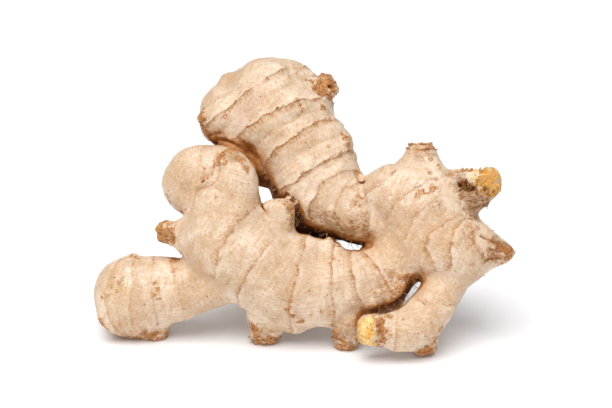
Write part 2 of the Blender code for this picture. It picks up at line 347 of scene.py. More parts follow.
# Corky scars.
MARKS["cork"] = [
    (-31.2, 78, 3, 0.9), (-27.3, 79.6, 3, 1), (-24, 76.4, 2.4, 0.8), (-33, 75.2, 2, 0.8),
    (-29.5, 75.6, 1.8, 0.7), (-21.8, 73.5, 1.8, 0.7), (-17.2, 7.4, 3, 1), (-19.4, 11.5, 2.2, 0.9),
    (-12.6, 5.8, 2.6, 1), (-9.2, 7.6, 2, 0.7), (13.2, 8.8, 2.4, 1), (15.6, 5.4, 2.8, 1), (19, 3.4, 2.4, 1),
    (12.8, 12.6, 1.6, 0.7), (-61, 4.4, 2.4, 0.9), (-57, 4.6, 2.6, 1), (-53.4, 8, 1.8, 0.7),
    (-80.6, 14, 1.8, 0.9), (-79.4, 11, 2, 0.9), (-77.4, 8.8, 1.6, 0.8), (48.2, 2.2, 3.6, 1),
    (46, 1.8, 1.8, 0.8), (53.6, 10.5, 1.4, 0.7), (52, 6.6, 1.6, 0.7), (-5.6, 18.6, 1, 0.9),
    (-3.4, 16, 1.3, 0.9), (-0.8, 13.6, 1.5, 0.9), (-4.8, 21.8, 1, 0.8), (46.5, 64.3, 1.8, 0.6),
    (50.5, 65.4, 1.6, 0.6), (77.2, 42.5, 2.4, 0.8), (80, 40.5, 3, 1), (75.2, 38.6, 1.8, 0.8),
    (72.8, 44.4, 1.2, 0.5), (-6.5, 60, 1.6, 0.7), (-4.4, 58.2, 1.6, 0.9), (-3.6, 55, 1.6, 0.9),
    (-4.2, 51.6, 1.2, 0.7), (9.6, 45.2, 1.6, 0.9), (11.8, 44, 1.3, 0.8), (13.8, 42.8, 1.2, 0.8),
    (16.6, 41.4, 1.2, 0.7), (22.6, 41, 1, 0.8), (-52.4, 62.4, 1.2, 0.8), (-51.6, 60.2, 1, 0.7),
    (47, 82.5, 1.8, 0.8), (42, 82.5, 1.6, 0.8), (51, 81, 1.6, 0.8), (50, 76.6, 1.2, 0.6),
    (53.2, 73.6, 1.4, 0.6), (58.4, 71, 1.6, 0.7), (49.9, 71.2, 1.2, 0.6), (-34.6, 70.6, 0.9, 0.8),
    (-66.5, 38.2, 1.2, 0.8), (-64, 37.4, 0.9, 0.6), (-73.5, 30.5, 0.9, 0.6), (-71.4, 28.6, 1, 0.6),
    (-74.2, 27.2, 0.9, 0.6), (-69.8, 30, 0.8, 0.5), (-72.4, 25.4, 0.8, 0.6), (-57.6, 28.6, 0.9, 0.6),
    (-56.6, 26.4, 0.8, 0.6), (-58, 24.2, 0.9, 0.6), (-55.8, 22.4, 0.8, 0.6), (-75.4, 23.8, 0.8, 0.5),
    (29, 16.2, 1.8, 0.9), (30.8, 13.4, 2.4, 1), (31.4, 10, 2.4, 1), (31.2, 6.6, 2.2, 1), (30, 4, 1.8, 0.9),
    (33.6, 15.4, 1.6, 0.7), (34, 8.6, 1.4, 0.6), (-38.2, 92.6, 2.4, 1), (-37.8, 89.6, 2.8, 1),
    (-36.4, 86.8, 2.6, 1), (-34.2, 84.4, 2.4, 0.9), (-31.4, 82.4, 2, 0.7), (-37.8, 95.2, 1.4, 0.8),
    (38.4, 30.6, 1.8, 0.8), (41.6, 31.6, 2, 0.9), (36.6, 27.4, 1.8, 0.8), (44.6, 30.4, 1.8, 0.9),
    (34.2, 23.4, 1.8, 0.8), (31, 19.8, 1.6, 0.8), (39.6, 28.2, 2, 0.9), (28.4, 17.6, 1.6, 0.8),
    (11.6, 99.6, 1.4, 0.8), (9.6, 81.2, 1, 0.6), (16.8, 84.6, 1.9, 0.9), (17.2, 81.8, 1.6, 0.9),
    (15.2, 86.6, 1.2, 0.7), (9.4, 106, 6.4, 1), (12, 108.4, 5, 1), (8.6, 105, 2.2, 0.9),
    (13.6, 103.6, 2.4, 1), (10.4, 101.8, 1.8, 0.8), (-56.4, 48.4, 6.4, 1), (-52.4, 48.2, 4, 0.9),
    (-51, 51.6, 1.4, 0.8), (-50.8, 44.8, 1.4, 0.8),
]

# Rusty nicks and short stains.
MARKS["rust"] = [
    (-2.5, 99.4, 1.3, 1), (0.2, 95.6, 1.1, 0.8), (-0.8, 97.6, 0.9, 0.9), (10.6, 92.4, 1, 0.7),
    (-29.4, 93.4, 1, 0.9), (-27.8, 94.2, 0.8, 0.7), (-5.6, 112.4, 0.7, 0.6), (-23.6, 105.4, 0.8, 0.4),
    (-9.4, 81.8, 0.8, 0.7), (-8, 86, 0.8, 0.6), (-19.6, 91.8, 0.7, 0.6), (-38.6, 68.8, 1.1, 1),
    (-36.4, 69.2, 0.9, 0.9), (-37.9, 73, 0.7, 0.7), (-33.2, 62.4, 1.2, 0.6), (-50.2, 33, 1.2, 0.8),
    (-48.4, 33.6, 0.9, 0.7), (-49.4, 31.2, 0.7, 0.7), (-43.6, 57.6, 1.2, 1), (12.8, 37.8, 0.8, 0.9),
    (14.4, 37.2, 0.7, 0.8), (12.6, 28.4, 1.2, 0.5), (13.4, 26, 1.1, 0.5), (7.6, 17.6, 1.2, 0.8),
    (-4.4, 19.4, 0.8, 1), (-3, 28.6, 0.9, 0.6), (-14.6, 22.4, 0.5, 0.7), (21.6, 62.4, 1, 0.9),
    (23.4, 61.4, 1, 0.9), (21, 59.6, 1, 0.9), (22.6, 58.2, 1, 0.8), (23.8, 40.6, 0.9, 0.8),
    (25.2, 39.2, 0.8, 0.7), (58.5, 50.6, 0.5, 0.8), (54, 57.6, 0.5, 0.7), (33.6, 37.6, 0.7, 0.4),
    (49.4, 63.4, 1.2, 0.7), (52.6, 65.2, 0.9, 0.8), (44.2, 62.6, 1, 0.6), (50.2, 1.6, 2, 1),
    (48, 1.2, 1.8, 0.9), (46.4, 2.2, 1.2, 0.8), (66.6, 35.6, 1.1, 0.7), (59, 43, 0.8, 0.6),
    (78.5, 41, 1.6, 0.8), (75.5, 43.2, 1.2, 0.8), (74.2, 40.2, 1.2, 0.6), (-71, 12.4, 1, 0.5),
    (-68, 13.4, 0.9, 0.5),
]

# Broken ends whose flesh shows.
MARKS["flesh"] = [
    (-57.8, 49.6, 3, 0.5), (-56.2, 46.4, 2.2, 0.5), (71, 70, 5.2, 1), (75.6, 70.4, 4.4, 1),
    (76.2, 65.6, 4.2, 1), (72, 65.4, 3.2, 0.9), (24.6, 11.6, 4.6, 1), (24.2, 7, 4.6, 1),
    (26.6, 4.8, 2.4, 1), (27, 13.6, 2.4, 1), (22.6, 9.4, 2.8, 1), (11.6, 109, 1.6, 0.45),
]

# Where a broken end is crumbled rather than smooth.
MARKS["crumbled"] = [
    (-56.4, 48.6, 6.5, 1), (11, 107, 6.4, 1), (10, 103.6, 4, 0.8), (74.4, 68, 7.6, 1),
    (24.8, 10.4, 6, 0.45), (47, 83, 5, 0.5), (-16.4, 7.2, 5, 0.7), (15.6, 6.2, 5, 0.8), (80, 41, 4.6, 0.8),
    (75.5, 40.4, 3.4, 0.5), (20.4, 84, 3.4, 0.6), (-27.6, 78.4, 5.5, 0.5), (-38.4, 91, 4.6, 0.7),
    (-35.4, 85.6, 4, 0.5), (48.4, 3, 4, 0.6), (30.6, 10.4, 4.2, 0.5), (-57.4, 4.6, 4.4, 0.5),
]

# Dark brown in hollows and clefts: partly earth held there, partly painted shade.
MARKS["earth_and_shade"] = [
    (64.2, 67.4, 2.8, 1), (61.8, 68.4, 1.6, 0.8), (66.6, 66, 1.6, 0.9), (62, 65, 1, 0.7),
    (13.8, 105.2, 0.9, 1), (12.2, 103.2, 0.6, 0.7), (67.8, 70.6, 0.8, 0.7), (68.4, 63.4, 0.8, 0.7),
    (23.2, 68.6, 1.2, 1), (70.6, 60.4, 0.8, 0.7), (31.6, 17.6, 1.5, 0.9), (34.2, 19.6, 1.2, 0.9),
    (-45.2, 56.6, 1.2, 0.9), (-38.2, 68.2, 0.8, 0.8), (-36.8, 67.6, 0.6, 0.7), (-18, 71.4, 2.2, 0.4),
    (-15.4, 69.2, 2.4, 0.7), (-12.6, 67.2, 2, 0.8), (-9.6, 65, 1.8, 0.8), (-5.6, 62.8, 1.6, 0.8),
    (-3.4, 60.8, 1.6, 0.9), (-2, 58, 1.6, 0.9), (-1.2, 55, 1.6, 0.9), (-0.4, 52, 1.6, 0.9),
]

# Wrinkled brown skin and tough fibre.
MARKS["leathery"] = [
    (66.6, 62, 4.4, 1), (67.8, 58.2, 4.4, 1), (67.2, 55.2, 3.4, 0.9), (63.6, 63.6, 3.4, 0.8),
    (70.6, 61.6, 3.8, 1), (71.6, 58.6, 3.8, 1), (61.6, 70.4, 2.6, 0.7), (59.4, 66.6, 2.4, 0.5),
    (75.8, 44, 3.4, 0.7), (79.4, 42, 3.6, 1), (73.4, 39.8, 2.8, 0.7), (71, 37.4, 2.2, 0.5),
    (9, 54, 4.2, 0.6), (14, 51.6, 4.2, 0.8), (19, 49.8, 4.2, 0.9), (23.6, 49.4, 3.8, 0.8),
    (4, 57, 3.8, 0.5), (19.4, 53.6, 3.2, 0.4), (24.8, 54, 3.2, 0.5), (21.8, 60, 2.6, 0.4),
    (-4.8, 57.6, 2.4, 0.7), (-3.8, 53.4, 2.4, 0.7), (-4.6, 49.8, 1.8, 0.5), (32.6, 27.6, 4.2, 0.6),
    (34.8, 30.6, 3.6, 0.6), (30.6, 23.8, 3.6, 0.6), (29.6, 19.6, 2.6, 0.7), (46.6, 79.4, 4.6, 0.4),
    (56.6, 71.2, 3.6, 0.5), (-26.6, 77.4, 3.8, 0.6), (-10, 15.4, 3.4, 0.3), (-17.2, 10.4, 4, 0.5),
    (16, 9.6, 4.4, 0.5), (51.6, 6.8, 3, 0.4), (-1.6, 16, 3.4, 0.3), (-37, 89.6, 3.6, 0.5),
    (-32, 86.4, 3, 0.4),
]

# Skin with a green cast.
MARKS["olive"] = [
    (-73.2, 29.5, 5.5, 0.8), (-69, 27.4, 4, 0.7), (-75.8, 24.5, 4.4, 0.6), (-65.6, 28.4, 3.4, 0.5),
    (-57.2, 27.8, 1.6, 1), (-58.6, 29.2, 1, 0.8), (-56.4, 24.4, 1.4, 0.8), (-55.8, 22.4, 1, 0.8),
    (-72.4, 20.6, 1.4, 0.7), (-38.6, 51.4, 5, 0.3),
]

# Skin with a pink cast.
MARKS["blush"] = [
    (-21.5, 93.4, 6.5, 0.9), (-17, 97.4, 5.5, 0.7), (-25.8, 88.4, 5, 0.5), (-11, 99, 4.5, 0.35),
]

# Chalky scars, and painted sheen: the whitish streaks on the left bulb.
MARKS["pale"] = [
    (46.8, 66.8, 2, 0.9), (50.2, 67.4, 1.4, 0.7), (41.8, 61.8, 1.4, 0.8), (39.4, 59.6, 1.2, 0.7),
    (51.2, 52.4, 1.2, 0.5), (17, 58.8, 1.6, 0.9), (-23.4, 47.6, 1.8, 0.6), (-21, 49.8, 1.2, 0.5),
    (44.2, 52.6, 1.2, 0.6), (62, 72, 1.8, 0.8), (64.8, 72.2, 1.8, 0.9), (67, 71.6, 1.4, 0.7),
    (-67.6, 33, 2, 0.9), (-67.8, 30.4, 2.2, 1), (-67.4, 27.6, 2, 0.9), (-62.4, 31, 1.9, 0.9),
    (-62.2, 28, 1.9, 0.8), (-56.8, 32, 1.6, 0.6), (-63.4, 33.8, 1.4, 0.7), (-21, 74, 1.4, 0.4),
    (-16, 52, 1.6, 0.5),
]

# Painted shade: broad darker patches where the front lies in shade.
MARKS["shade_patches"] = [
    (40, 46, 15, 1), (33, 38, 9, 0.7), (-40, 27, 9, 0.8), (-46, 24, 8, 0.7), (48, 17, 12, 0.7),
    (40, 9, 7, 0.5), (-46, 71, 11, 0.7), (-10, 33, 11, 0.45), (-48, 26, 8, 0.35), (-68, 14, 10, 0.6),
    (20, 52, 9, 0.6), (70, 44, 8, 0.4), (5, 84, 9, 0.4), (30, 24, 8, 0.4), (-69, 25, 11, 0.5),
    (-28, 34, 9, 0.4), (4, 30, 9, 0.5), (-16, 92, 9, 0.5), (12, 68, 9, 0.4), (-30, 62, 8, 0.4),
    (52, 48, 11, 1), (46, 24, 8, 0.5), (36, 54, 9, 0.6), (-6, 82, 10, 0.6), (-34, 40, 8, 0.5),
    (14, 34, 8, 0.4),
]

# Where the rings fade.
MARKS["faded"] = [
    (14, 66, 11, 1), (6, 66, 8, 0.8), (20, 72, 8, 0.8), (-10, 108.6, 4, 0.7), (2, 104, 7, 0.7),
    (-16.6, 106.2, 4.4, 1.3), (-2.6, 112, 6, 1.3), (45, 52, 12, 0.7), (36, 64, 9, 0.8), (56, 60, 7, 0.4),
    (60, 48, 7, 0.3), (-60, 25, 12, 0.6), (-24, 42, 6, 0.5), (0, 24, 6, 0.4), (44, 14, 8, 0.7),
]

# Hollows pressed into the front: (across, up, radius, depth).
HOLLOWS = [
    (64.2, 67.4, 3.8, 4.6), (61.6, 68.6, 2.6, 2), (66.4, 65.8, 2.6, 2.8), (13.8, 105.4, 1, 1.4),
    (23, 67.8, 1.6, 0.5), (31.2, 17, 1.6, 1.2), (-38.5, 68.4, 0.9, 0.5), (27.8, 11.6, 1.6, 0.6),
    (-49.4, 51.6, 2, 0.6), (-49.4, 44.6, 2, 0.6), (6.4, 112.6, 4, 1.3),
]

# Swellings that stand out from the front: (across, up, radius, height).
SWELLINGS = [
    (10.2, 44.4, 2.2, 1.6), (15.4, 41.6, 2, 0.8), (-13.4, 57.6, 3.2, 2.2), (24.4, 10.8, 3.6, 0.8),
    (11.2, 107.6, 3, 0.8), (-38.8, 92, 3.6, 1.6), (-36.4, 87, 3, 1), (-30, 108, 4.4, 1.6),
    (-34.6, 101.6, 3.4, 0.8), (-19, 113.5, 4, 0.7), (-8, 116.4, 4.6, 1.7), (12, 98.4, 3, 0.9),
    (15.6, 74, 4, 0.8), (17.2, 84, 2.4, 1.5), (-79.4, 13.4, 3.6, 1.4), (-75.6, 8.4, 3.4, 1.2),
    (-65.4, 38.8, 2.6, 0.9), (-50.6, 37.4, 2, 0.4), (28, 19.4, 4, 1.6), (32.4, 22.4, 4.6, 2.2),
    (36.6, 26.2, 4.6, 2.2), (57.6, 18, 3, 0.7), (52, 5, 2.4, 0.6), (79, 41.6, 2.2, 0.9),
]

# Creases: the places they run through, then their width, their depth and how brown they are.
# The brown along a crease is partly the skin's own lines, partly painted shade.
CREASES = [
    ([(-33, 79), (-32.4, 74.5), (-33.4, 69.6), (-36, 66.7), (-40.6, 65.2), (-42.1, 62), (-43.7, 57.3)],
     0.9, 1.35, 0.6),
    ([(23, 72), (23, 69.4), (24.4, 60.5), (26.1, 55.4), (27.3, 49.1), (26.1, 44)], 1.3, 0.9, 0.35),
    ([(33.7, 18.6), (31.8, 14), (31.4, 9), (32, 4.2)], 0.9, 0.6, 0.5),
    ([(27.8, 15.4), (29.4, 12.4), (29.8, 9), (29, 5.6), (27.6, 3.2)], 0.7, 0.8, 0.9),
    ([(68.2, 72.4), (68.6, 69.4), (68.2, 65.8), (69.4, 62.4)], 0.8, 1.3, 1),
    ([(69.6, 46.6), (74.6, 44.4), (78.4, 42.4)], 0.7, 1.1, 1),
    ([(73.4, 41.8), (75.6, 40.8), (77.4, 40.9)], 0.6, 1, 0.9),
    ([(71.6, 37), (74.6, 38.2), (77.6, 38)], 0.7, 1, 0.9),
    ([(77.2, 44.2), (76.2, 41.4), (76.6, 38)], 0.7, 1.2, 0.9),
    ([(74.4, 39.6), (76, 39.2), (77.2, 39.6)], 0.5, 0.8, 0.8),
    ([(-37.8, 84.8), (-34.8, 86.4), (-31.4, 86.8)], 0.7, 0.5, 0.5),
    ([(-0.8, 97.8), (0, 95.4), (-1.4, 93.6)], 0.5, 0.4, 0.7),
    ([(62.4, 61.2), (66, 59.8), (69.4, 60.2)], 0.8, 0.7, 0.7),
    ([(63.2, 57.2), (66.8, 57), (69.6, 58.2)], 0.8, 0.7, 0.6),
    ([(22.6, 13.8), (24.2, 13.2), (25.8, 12.4)], 0.55, 0.4, 0.45),
    ([(23.4, 10.6), (24.6, 9.6), (26, 9.6)], 0.5, 0.4, 0.45),
    ([(-34.4, 72.2), (-36.4, 70.4), (-39.4, 69.6)], 0.5, 0.5, 0.6),
]

HIDDEN_SPOTS = 70  # marks of each kind that are strewn over the back
# Each kind's seed, largest radius and strength there.
HIDDEN = {"cork": (21, 2.4, 1.0), "rust": (22, 1.2, 1.0), "pale": (23, 1.4, 0.7)}

RAGGED_EDGES = [(0.55, 2.4, 3.3), (0.55, 1.0, 5.1)]  # of all marks

# Heights of the relief.
RING_RIDGE = 0.16
RING_LEDGE = 0.12
RING_BULGE = 0.95
WIDE_GAP = 14.0  # rings this far apart or more have the whole bulge between them
LUMPS = [(0.8, 12.0, 1.3), (0.45, 5.5, 4.1), (0.16, 2.0, 9.2)]  # with sizes and seeds
WRINKLES = 0.09
CORK_CRUST, CORK_LUMPS, RUST_CRUST, PALE_CRUST = 0.25, 0.5, 0.15, 0.1
TOUGH_FOLDS, TOUGH_LUMPS = 0.35, 0.2
CRUMB_BLOCKS, CRUMB_CHUNKS, CRUMB_GRIT = 1.4, 1.1, 0.6


def put_spots(hand, spots, ragged):
    """How strong the spots are at each point. A spot is a middle, a radius and a strength."""
    amount = np.zeros(len(hand))
    for middle, radius, strength in spots:
        far = norm(hand - middle, axis=1) / radius + ragged
        amount = np.maximum(amount, strength * (1 - smoothstep(0.55, 1.15, far)))
    return amount


def put_marks(hand, places, front, ragged):
    spots = [(front.at(*place)[0], radius, strength) for *place, radius, strength in places]
    return put_spots(hand, spots, ragged)


def hidden_spots(hand, facing, seed, largest):
    """Spots strewn over the skin that faces away from the front."""
    rng = random.Random(seed)
    facing_back = np.flatnonzero(facing[:, 1] > 0.1).tolist()
    return [
        (hand[rng.choice(facing_back)], rng.uniform(0.5, largest), rng.uniform(0.5, 1.0))
        for _ in range(HIDDEN_SPOTS)
    ]


def raised(hand, front, marks):
    """Height of round swellings, or depth of round hollows."""
    height = np.zeros(len(hand))
    for across, up, radius, high in marks:
        far = norm(hand - front.at(across, up)[0], axis=1) / radius
        height += high * np.exp(-(far**2) * 1.6)
    return height


def press_creases(hand, front):
    """The creases' depth at each point, and their brown there, partly painted shade."""
    depth = np.zeros(len(hand))
    brown = np.zeros(len(hand))
    for places, width, deep, tint in CREASES:
        path = smooth_path([front.at(*place)[0] for place in places], steps=6)
        far = np.min([norm(hand - point, axis=1) for point in path], axis=0)
        near = np.exp(-((far / width) ** 2))
        depth = np.maximum(depth, deep * near)
        brown = np.maximum(brown, tint * near)
    return depth, brown


def even_directions(count):
    """Directions spread evenly over a sphere."""
    index = np.arange(count) + 0.5
    height = 1 - 2 * index / count
    turn = math.pi * (1 + math.sqrt(5)) * index
    across = np.sqrt(1 - height**2)
    return np.stack((across * np.cos(turn), across * np.sin(turn), height), axis=1)


def nooks(hand, normals, tree):
    """How deep each point lies between the lobes: the share of nearby directions that are blocked."""
    directions = even_directions(NOOK_RAYS)
    amount = np.zeros(len(hand))
    starts = hand + normals * NOOK_START
    for index, (start, normal) in enumerate(zip(starts.tolist(), normals)):
        facing = directions @ normal
        hits = 0.0
        total = 0.0
        for direction, weight in zip(directions[facing > 0.1], facing[facing > 0.1]):
            total += weight
            reached = tree.ray_cast(start, direction, NOOK_REACH)[3]
            if reached is not None:
                hits += weight * (1 - 0.6 * reached / NOOK_REACH)
        amount[index] = hits / total
    return amount


def add_value(mesh, name, values):
    mesh.attributes.new(name, "FLOAT", "POINT").data.foreach_set("value", values.astype(np.float32))


def add_vector(mesh, name, values):
    mesh.attributes.new(name, "FLOAT_VECTOR", "POINT").data.foreach_set(
        "vector", values.astype(np.float32).ravel()
    )


def broken_shape(hand):
    """Crumbly relief: coarse chunks with finer grit on them."""
    blocks = field(hand, 6.5, 3.7)
    chunks = 1 - 2 * abs(field(hand, 3.4, 5.5))
    grit = 1 - 2 * abs(field(hand, 1.5, 2.5))
    return CRUMB_BLOCKS * blocks + CRUMB_CHUNKS * (chunks - 0.4) + CRUMB_GRIT * (grit - 0.5)


def find_marks(hand, facing, above_floor, front):
    """How strong each kind of mark is at each point, the wear on the feet included."""
    ragged = summed_fields(hand, RAGGED_EDGES)
    marks = {kind: put_marks(hand, places, front, ragged) for kind, places in MARKS.items()}
    for kind, (seed, largest, strength) in HIDDEN.items():
        strewn = put_spots(hand, hidden_spots(hand, facing, seed, largest), ragged)
        marks[kind] = np.maximum(marks[kind], strength * strewn)
    worn = 1 - smoothstep(0.5, 4.5, above_floor + 4.0 * ragged)
    marks["cork"] = np.maximum(marks["cork"], 0.9 * worn)
    marks["crumbled"] = np.maximum(marks["crumbled"], 0.4 * worn)
    return marks


def ring_relief(off_ring, gap, patchy, faded):
    """The ridge and ledge at each ring, and the bulge between two rings."""
    ridge = RING_RIDGE * np.exp(-((off_ring / 0.5) ** 2)) * patchy
    ledge = RING_LEDGE * patchy * np.tanh(off_ring / 0.4) * np.exp(-abs(off_ring) / 2.4)
    between = 1 - (2 * off_ring / gap) ** 2
    bulge = RING_BULGE * np.minimum(gap, WIDE_GAP) / WIDE_GAP * between * (1 - 0.5 * faded)
    return ridge + ledge + bulge


def skin_relief(rings, hand, grain, marks):
    """The rings' relief with lumps, wrinkles, crusts and tough folds on it."""
    lumps = summed_fields(hand, LUMPS)
    wrinkles = WRINKLES * field(grain, 1.7, 3.0)
    crust = marks["cork"] * (CORK_CRUST + CORK_LUMPS * field(hand, 1.5, 8.0))
    crust = crust + RUST_CRUST * marks["rust"] + PALE_CRUST * marks["pale"]
    folds = TOUGH_FOLDS * field(grain, 1.3, 6.0) + TOUGH_LUMPS * field(hand, 1.3, 1.0)
    return rings + lumps + wrinkles + crust + marks["leathery"] * folds


def build_skin():
    """The skin's object, and what the scales and hairs need to know about each of its points."""
    root = fine_surface()
    mesh = root.data
    front = Front(mesh)
    points = read_vertices(mesh, "co")
    normals = read_vertices(mesh, "normal")
    hand = to_hand(points)
    lobes = [Lobe(stations, rings, front) for stations, rings in LOBES.values()]
    owner, lead, phase, gap, grain = lay_out(hand, lobes)
    strengths = np.array([RING_STRENGTH.get(name, PLAIN_RING_STRENGTH) for name in LOBES])
    marks = find_marks(hand, normals @ HAND_AXES.T, points[:, 2] / MM, front)
    crumbled, faded = marks["crumbled"], marks.pop("faded")
    # The fibres and the rings fade where two lobes meet.
    settled = smoothstep(0.03, 0.12, lead)
    sure = smoothstep(0.03, 0.2, lead) * strengths[owner] * (1 - 0.55 * faded)

    off_ring = (phase - np.round(phase)) * gap
    patchy = 0.6 + 0.6 * field(hand, 5.0, 2.1)
    height = skin_relief(sure * ring_relief(off_ring, gap, patchy, faded), hand, grain, marks)
    crumbs = broken_shape(hand)
    # Painted shade in the hollows of the crumbled ends.
    pit = crumbled * (1 - smoothstep(-1.1, 0.3, crumbs))
    crease_depth, crease = press_creases(hand, front)
    height = height * (1 - 0.5 * crumbled) + crumbled * crumbs
    height = height + raised(hand, front, SWELLINGS) - raised(hand, front, HOLLOWS) - crease_depth
    points = points + normals * (height * MM)[:, None]
    points[:, 2] = np.maximum(points[:, 2], 0)
    mesh.vertices.foreach_set("co", points.ravel())
    mesh.update()

    hand = to_hand(points)
    out = read_vertices(mesh, "normal") @ HAND_AXES.T
    nook = nooks(hand, out, Front(mesh).tree)
    marks.update(phase=phase, gap=gap, settled=settled, sure=sure, pit=pit, crease=crease, nook=nook)
    for name, values in marks.items():
        add_value(mesh, name, values)
    add_vector(mesh, "grain", grain)
    shade_smooth(mesh)
    mesh.materials.clear()
    along = np.zeros(hand.shape)
    for index, lobe in enumerate(lobes):
        mine = owner == index
        along[mine] = lobe.tangents[lobe.closeness(hand[mine])[1]]
    ring = sure * patchy * np.exp(-((off_ring / 0.4) ** 2))
    return root, {"hand": hand, "out": out, "along": along, "nook": nook, "ring": ring}


# ---------------------------------------------------------------- scale leaves and root hairs

LOWEST = 0.3 * MM  # no scale or hair reaches lower

SCALE_SEED = 11
RING_SCALES = 320
RING_SCALES_FROM = 3.0  # how far up the scales at the rings begin
SCALE_THICKNESS = 0.14
SCALE_ROWS = 3
SCALE_COLUMN = 0.55  # how wide a column of a scale's mesh is
SCALE_ROOT = 0.3  # how deep in the skin a scale starts
SCALE_CUPPED = 0.12  # how much its sides bend down

HAIR_SEED = 5
HAIRS = 150
HAIRS_FROM = 4.0
STRAY_HAIRS = 0.0004  # how readily a hair grows outside the clefts
HAIR_RADIUS = 0.14
HAIR_LENGTHS = (1.2, 3.8)
HAIR_STEPS = 6
HAIR_ROOT = 0.4

# Tufts of hairs on the front: across, up, spread, how many.
TUFTS = [(63.4, 66.4, 3.4, 30), (33.5, 18.5, 2.6, 14), (-1.4, 53, 2.4, 12), (44.6, 30, 2.4, 8)]

# Ragged rims of broken ends: middle, direction, radius, how many scales, their length, their lean.
RIMS = [
    ((46.9, 8, 82.2), (0, 0, 1), 4.9, 11, 1.1, 0.3),
    ((46.9, 8, 80.2), (0, 0, 1), 5.4, 8, 1, 0.5),
    ((69.4, 3, 66.4), (0.95, -0.1, 0.2), 6.2, 9, 1.5, 0.5),
    ((30, -6.6, 11.3), (-1, 0, 0), 6.3, 14, 1.4, 0.5),
    ((-14.6, 14, 7.5), (0, 0, -1), 5.8, 9, 1.2, 0.4),
    ((16.9, 8.4, 6.5), (-0.2, 0.2, -1), 5.2, 9, 1.2, 0.4),
]

# Scales of their own: (across, up, width, length, lift) on the front.
LONE_SCALES = [
    (64.2, 71.8, 7, 1.6, 0.9), (60.8, 71.4, 3.6, 1.2, 0.8), (-38.4, 91.6, 3.2, 1.4, 0.9),
    (-38, 88, 3, 1.2, 0.8), (-39, 95, 2.6, 1, 0.8), (-65, 38.2, 2.4, 1.1, 0.8),
    (-80.2, 12.2, 3, 1.2, 0.9), (11.4, 98.8, 2.6, 1.2, 0.9), (51.4, 3.4, 2.6, 1.2, 0.7),
    (10.2, 45.2, 2.6, 1.1, 0.8), (14.4, 42.4, 2.4, 0.9, 0.7), (-8.2, 60.2, 2.4, 0.9, 0.8),
]


def unit(vector):
    return vector / norm(vector)


def above_ground(point):
    x, y, z = to_world(point)
    return x, y, max(z, LOWEST)


def add_scale(sheet, base, out, along, width, length, lift, rng):
    """One torn scale leaf: a strip rooted in the skin that lifts and curls away from it."""
    across = unit(np.cross(along, out))
    columns = max(3, round(width / SCALE_COLUMN))
    curl = rng.uniform(-0.5, 0.7)
    waves = rng.uniform(0, 2 * math.pi)
    grid = []
    for row in range(SCALE_ROWS + 1):
        t = row / SCALE_ROWS
        angle = lift + curl * t
        line = []
        for column in range(columns + 1):
            side = (column / columns - 0.5) * width * (1 - 0.3 * t * t)
            torn = 0.22 * math.sin(waves + 1.3 * column) + rng.uniform(-0.2, 0.1)
            reach = length * t * (1 + torn * t)
            point = base + across * side + along * (math.cos(angle) * reach)
            sunk = SCALE_ROOT + SCALE_CUPPED * side * side / width
            point = point + out * (math.sin(angle) * reach - sunk)
            line.append(sheet.verts.new(above_ground(point)))
        grid.append(line)
    for low, high in zip(grid, grid[1:]):
        for corner in range(columns):
            sheet.faces.new((low[corner], low[corner + 1], high[corner + 1], high[corner]))


def build_scales(coat, front):
    """Torn scale leaves along the rings, on their own and round the broken ends."""
    rng = random.Random(SCALE_SEED)
    sheet = bmesh.new()
    hand, out, along = coat["hand"], coat["out"], coat["along"]
    weights = coat["ring"] ** 3 * (hand[:, 2] > RING_SCALES_FROM)
    for index in rng.choices(range(len(hand)), weights=weights.tolist(), k=RING_SCALES):
        flat = along[index] - out[index] * (along[index] @ out[index])
        width, length = rng.uniform(0.8, 2.4), rng.uniform(0.5, 1.2)
        add_scale(sheet, hand[index], out[index], unit(flat), width, length, rng.uniform(0.1, 0.6), rng)
    for across, up, width, length, lift in LONE_SCALES:
        place, normal = front.at(across, up)
        flat = np.array((0.0, 0.0, 1.0)) - normal * normal[2]
        add_scale(sheet, place, normal, unit(flat), width, length, lift, rng)
    for middle, direction, radius, count, length, lean in RIMS:
        direction = unit(np.array(direction, float))
        side = unit(np.cross(direction, (0.31, 0.77, 0.55)))
        other = np.cross(direction, side)
        for step in range(count):
            turn = 2 * math.pi * (step + rng.uniform(-0.3, 0.3)) / count
            outward = side * math.cos(turn) + other * math.sin(turn)
            start = np.array(middle, float) + direction * rng.uniform(-0.6, 0.4)
            hit = front.tree.ray_cast(Vector(start), Vector(outward), 2.0 * radius)[0]
            base = np.array(hit) if hit else start + outward * radius
            width = rng.uniform(0.8, 1.5) * 2 * math.pi * radius / count
            add_scale(sheet, base, outward, direction, width, length * rng.uniform(0.6, 1.2), lean, rng)
    mesh = bpy.data.meshes.new("scale_leaves")
    sheet.to_mesh(mesh)
    sheet.free()
    shade_smooth(mesh)
    scales = add_object("scale_leaves", mesh)
    body = scales.modifiers.new("body", "SOLIDIFY")
    body.thickness = SCALE_THICKNESS * MM
    body.offset = 0
    return scales


